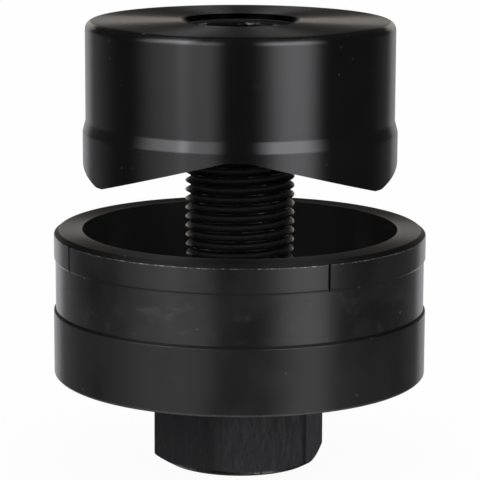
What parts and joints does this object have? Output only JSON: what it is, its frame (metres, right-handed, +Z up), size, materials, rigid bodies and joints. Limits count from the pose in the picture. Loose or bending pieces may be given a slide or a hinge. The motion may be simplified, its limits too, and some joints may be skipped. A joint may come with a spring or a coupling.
{
  "type": "sheet metal hole punch",
  "caption": "Round hole punch for sheet metal: a three-tipped punch on a hex-headed draw screw over a cup-shaped die, for one large conduit size.",
  "frame": {"origin": "middle of the underside of the draw screw's hex head, on which the tool stands", "axes": "+Z up along the screw, from the hex head through the die to the punch; a valley of the punch's cutting face looks towards -Y at rest"},
  "size_m": [0.0644, 0.0644, 0.0768],
  "materials": {
    "blackened_tool_steel": "satin",
    "blackened_bolt_steel": "satin",
    "bearing_steel": "polished",
    "cage_steel": "satin",
    "spring_steel": "satin"
  },
  "bodies": {
    "die": {"die": "blackened_tool_steel", "upper_race": "bearing_steel"},
    "draw_screw": {"draw_screw": "blackened_bolt_steel", "lower_race": "bearing_steel", "snap_ring": "spring_steel"},
    "roller_cage": {"roller_cage": "cage_steel"},
    "punch": {"punch": "blackened_tool_steel"},
    "roller_01": {"roller_01": "bearing_steel"},
    "roller_02": {"roller_02": "bearing_steel"},
    "roller_03": {"roller_03": "bearing_steel"},
    "roller_04": {"roller_04": "bearing_steel"},
    "roller_05": {"roller_05": "bearing_steel"},
    "roller_06": {"roller_06": "bearing_steel"},
    "roller_07": {"roller_07": "bearing_steel"},
    "roller_08": {"roller_08": "bearing_steel"},
    "roller_09": {"roller_09": "bearing_steel"},
    "roller_10": {"roller_10": "bearing_steel"},
    "roller_11": {"roller_11": "bearing_steel"},
    "roller_12": {"roller_12": "bearing_steel"},
    "roller_13": {"roller_13": "bearing_steel"},
    "roller_14": {"roller_14": "bearing_steel"},
    "roller_15": {"roller_15": "bearing_steel"},
    "roller_16": {"roller_16": "bearing_steel"}
  },
  "joints": [
    {"name": "screw_spin", "type": "hinge", "parent": "die", "child": "draw_screw", "pos_m": [0, 0, 0], "axis": [0, 0, 1], "range_deg": [-3961, 4681]},
    {"name": "punch_draw", "type": "slide", "parent": "die", "child": "punch", "axis": [0, 0, 1], "range_m": [-0.02064, 0.01746]},
    {"name": "cage_spin", "type": "hinge", "parent": "die", "child": "roller_cage", "pos_m": [0, 0, 0.01442], "axis": [0, 0, 1], "range_deg": [-1981, 2341]},
    {"name": "roller_01_spin", "type": "hinge", "parent": "roller_cage", "child": "roller_01", "pos_m": [0.01362, 0, 0.01442], "axis": [1, 0, 0], "range_deg": [-26978.5, 31883.5]},
    {"name": "roller_02_spin", "type": "hinge", "parent": "roller_cage", "child": "roller_02", "pos_m": [0.01259, 0.00521, 0.01442], "axis": [0.9239, 0.3827, 0], "range_deg": [-26978.5, 31883.5]},
    {"name": "roller_03_spin", "type": "hinge", "parent": "roller_cage", "child": "roller_03", "pos_m": [0.00963, 0.00963, 0.01442], "axis": [0.7071, 0.7071, 0], "range_deg": [-26978.5, 31883.5]},
    {"name": "roller_04_spin", "type": "hinge", "parent": "roller_cage", "child": "roller_04", "pos_m": [0.00521, 0.01259, 0.01442], "axis": [0.3827, 0.9239, 0], "range_deg": [-26978.5, 31883.5]},
    {"name": "roller_05_spin", "type": "hinge", "parent": "roller_cage", "child": "roller_05", "pos_m": [0, 0.01362, 0.01442], "axis": [0, 1, 0], "range_deg": [-26978.5, 31883.5]},
    {"name": "roller_06_spin", "type": "hinge", "parent": "roller_cage", "child": "roller_06", "pos_m": [-0.00521, 0.01259, 0.01442], "axis": [-0.3827, 0.9239, 0], "range_deg": [-26978.5, 31883.5]},
    {"name": "roller_07_spin", "type": "hinge", "parent": "roller_cage", "child": "roller_07", "pos_m": [-0.00963, 0.00963, 0.01442], "axis": [-0.7071, 0.7071, 0], "range_deg": [-26978.5, 31883.5]},
    {"name": "roller_08_spin", "type": "hinge", "parent": "roller_cage", "child": "roller_08", "pos_m": [-0.01259, 0.00521, 0.01442], "axis": [-0.9239, 0.3827, 0], "range_deg": [-26978.5, 31883.5]},
    {"name": "roller_09_spin", "type": "hinge", "parent": "roller_cage", "child": "roller_09", "pos_m": [-0.01362, 0, 0.01442], "axis": [-1, 0, 0], "range_deg": [-26978.5, 31883.5]},
    {"name": "roller_10_spin", "type": "hinge", "parent": "roller_cage", "child": "roller_10", "pos_m": [-0.01259, -0.00521, 0.01442], "axis": [-0.9239, -0.3827, 0], "range_deg": [-26978.5, 31883.5]},
    {"name": "roller_11_spin", "type": "hinge", "parent": "roller_cage", "child": "roller_11", "pos_m": [-0.00963, -0.00963, 0.01442], "axis": [-0.7071, -0.7071, 0], "range_deg": [-26978.5, 31883.5]},
    {"name": "roller_12_spin", "type": "hinge", "parent": "roller_cage", "child": "roller_12", "pos_m": [-0.00521, -0.01259, 0.01442], "axis": [-0.3827, -0.9239, 0], "range_deg": [-26978.5, 31883.5]},
    {"name": "roller_13_spin", "type": "hinge", "parent": "roller_cage", "child": "roller_13", "pos_m": [0, -0.01362, 0.01442], "axis": [0, -1, 0], "range_deg": [-26978.5, 31883.5]},
    {"name": "roller_14_spin", "type": "hinge", "parent": "roller_cage", "child": "roller_14", "pos_m": [0.00521, -0.01259, 0.01442], "axis": [0.3827, -0.9239, 0], "range_deg": [-26978.5, 31883.5]},
    {"name": "roller_15_spin", "type": "hinge", "parent": "roller_cage", "child": "roller_15", "pos_m": [0.00963, -0.00963, 0.01442], "axis": [0.7071, -0.7071, 0], "range_deg": [-26978.5, 31883.5]},
    {"name": "roller_16_spin", "type": "hinge", "parent": "roller_cage", "child": "roller_16", "pos_m": [0.01259, -0.00521, 0.01442], "axis": [0.9239, -0.3827, 0], "range_deg": [-26978.5, 31883.5]}
  ],
  "couplings": [
    {"joint": "screw_spin", "follows": "punch_draw", "rad_per_m": -3957.9},
    {"joint": "cage_spin", "follows": "punch_draw", "rad_per_m": -1979},
    {"joint": "roller_01_spin", "follows": "punch_draw", "rad_per_m": -26963},
    {"joint": "roller_02_spin", "follows": "punch_draw", "rad_per_m": -26963},
    {"joint": "roller_03_spin", "follows": "punch_draw", "rad_per_m": -26963},
    {"joint": "roller_04_spin", "follows": "punch_draw", "rad_per_m": -26963},
    {"joint": "roller_05_spin", "follows": "punch_draw", "rad_per_m": -26963},
    {"joint": "roller_06_spin", "follows": "punch_draw", "rad_per_m": -26963},
    {"joint": "roller_07_spin", "follows": "punch_draw", "rad_per_m": -26963},
    {"joint": "roller_08_spin", "follows": "punch_draw", "rad_per_m": -26963},
    {"joint": "roller_09_spin", "follows": "punch_draw", "rad_per_m": -26963},
    {"joint": "roller_10_spin", "follows": "punch_draw", "rad_per_m": -26963},
    {"joint": "roller_11_spin", "follows": "punch_draw", "rad_per_m": -26963},
    {"joint": "roller_12_spin", "follows": "punch_draw", "rad_per_m": -26963},
    {"joint": "roller_13_spin", "follows": "punch_draw", "rad_per_m": -26963},
    {"joint": "roller_14_spin", "follows": "punch_draw", "rad_per_m": -26963},
    {"joint": "roller_15_spin", "follows": "punch_draw", "rad_per_m": -26963},
    {"joint": "roller_16_spin", "follows": "punch_draw", "rad_per_m": -26963}
  ]
}
